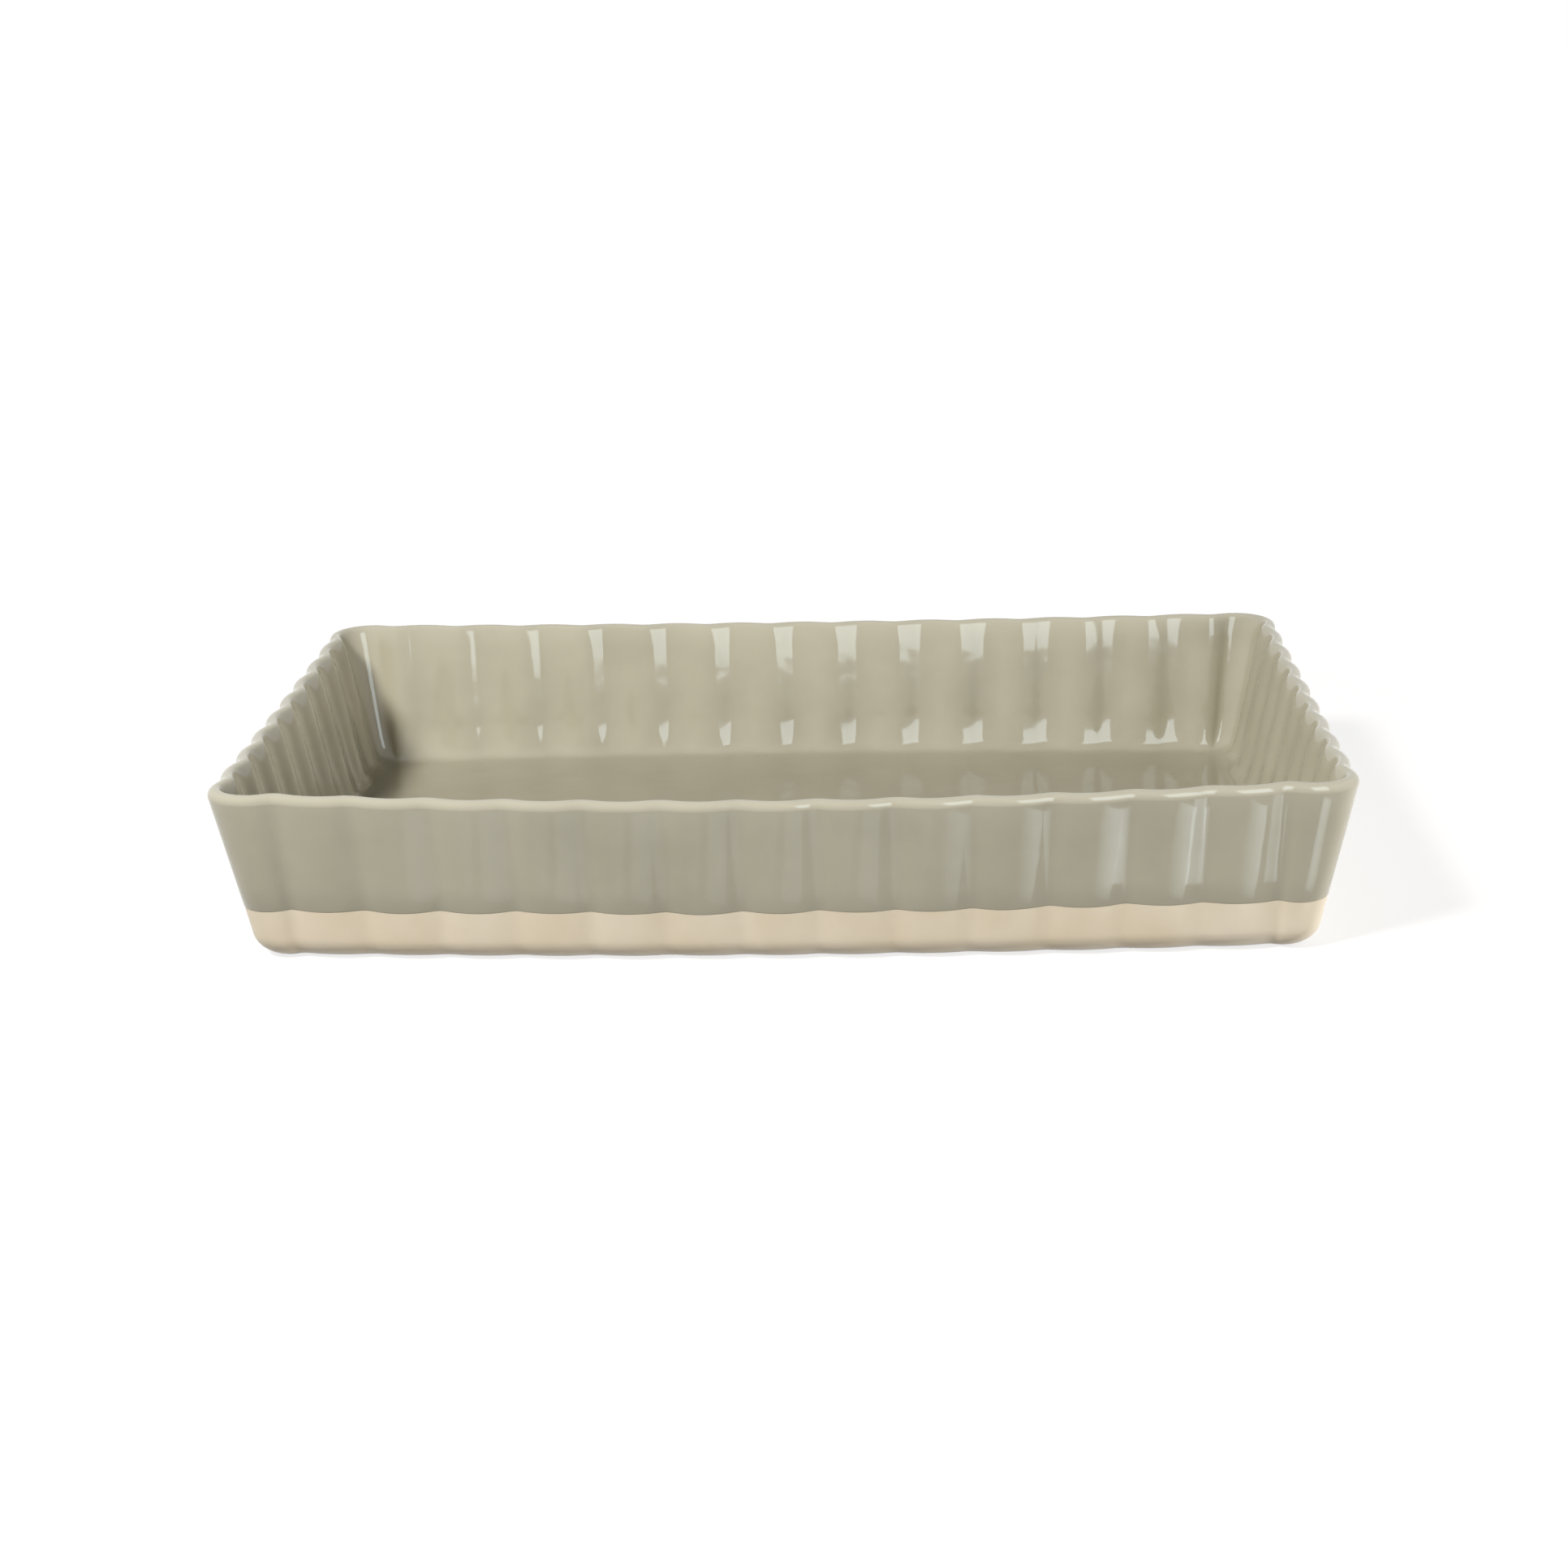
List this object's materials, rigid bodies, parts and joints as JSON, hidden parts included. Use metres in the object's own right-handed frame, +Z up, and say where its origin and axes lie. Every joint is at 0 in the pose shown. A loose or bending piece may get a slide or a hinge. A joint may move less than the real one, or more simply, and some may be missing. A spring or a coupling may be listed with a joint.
{
  "type": "rectangular baking dish",
  "caption": "Shallow rectangular stoneware oven dish with leaning scalloped walls, a rounded rim, a greige glaze inside and out and a cream glazed band round the foot.",
  "frame": {"origin": "centre of the dish, on the surface that it stands on", "axes": "+X along the long sides to the right, +Y towards the back long side, +Z up out of the dish"},
  "size_m": [0.335, 0.226, 0.0537],
  "materials": {
    "bare_stoneware": "matt unglazed clay",
    "greige_glaze": "glossy",
    "cream_glaze": "satin"
  },
  "bodies": {
    "root": {"stoneware_body": "bare_stoneware", "greige_glaze_coat": "greige_glaze", "cream_foot_glaze": "cream_glaze"}
  },
  "joints": []
}
